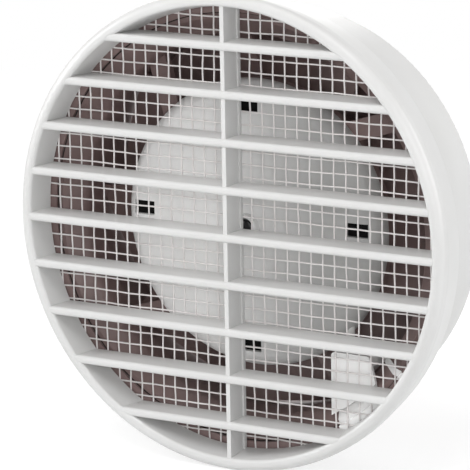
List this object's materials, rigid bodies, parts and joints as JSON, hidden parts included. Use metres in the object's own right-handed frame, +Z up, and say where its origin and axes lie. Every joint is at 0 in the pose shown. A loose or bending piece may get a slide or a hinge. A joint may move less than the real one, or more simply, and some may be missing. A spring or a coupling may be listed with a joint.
{
  "type": "ventilation fan",
  "caption": "Round wall ventilation fan: a white louvre with insect net in front of an axial fan in a short duct spigot that fits a wall duct.",
  "frame": {"origin": "on the fan's axis in the wall plane, where the duct spigot begins", "axes": "+Y along the axis into the wall duct, +Z up, the louvre faces -Y"},
  "size_m": [0.1708, 0.05, 0.1708],
  "materials": {
    "white_plastic": "satin moulded",
    "net": "woven coated thread",
    "seal_foam": "closed cell foam",
    "dark_plastic": "moulded",
    "impeller_plastic": "moulded, slight sheen",
    "grey_plastic": "moulded",
    "screw_steel": "zinc plated",
    "board": "printed board",
    "component": "moulded",
    "lamination": "stacked sheet edges",
    "copper": "enamelled wire",
    "bearing_steel": "ground",
    "shaft_steel": "ground",
    "rotor_steel": "pressed, coated",
    "magnet": "sintered ferrite",
    "terminal_plastic": "glossy moulded",
    "terminal_block": "moulded",
    "grommet_rubber": "soft moulded",
    "lead": "sheathed lead"
  },
  "bodies": {
    "housing": {"louvre_grille": "white_plastic", "insect_mesh": "net", "mesh_ring": "dark_plastic", "casing": "white_plastic", "wall_seal": "seal_foam", "frame_ring": "dark_plastic", "fan_frame": "dark_plastic", "frame_screws": "screw_steel", "motor_cover": "grey_plastic", "drive_board": "board", "board_components": "component", "board_screws": "screw_steel", "stator_core": "lamination", "stator_coils": "copper", "front_bearing_outer_ring": "bearing_steel", "rear_bearing_outer_ring": "bearing_steel", "terminal_box": "terminal_plastic", "terminal_cover": "terminal_plastic", "terminal_block": "terminal_block", "terminal_screws": "screw_steel", "cable_grommet": "grommet_rubber", "motor_lead": "lead"},
    "rotor": {"front_bearing_inner_ring": "bearing_steel", "front_bearing_balls": "bearing_steel", "rear_bearing_inner_ring": "bearing_steel", "rear_bearing_balls": "bearing_steel", "motor_shaft": "shaft_steel", "retaining_clip": "screw_steel", "shaft_washer": "screw_steel", "rotor_bell": "rotor_steel", "magnet_ring": "magnet", "impeller": "impeller_plastic", "impeller_screws": "screw_steel"}
  },
  "joints": [
    {"name": "impeller_spin", "type": "hinge", "parent": "housing", "child": "rotor", "pos_m": [0, 0.02, 0], "axis": [0, 1, 0], "continuous": true}
  ]
}
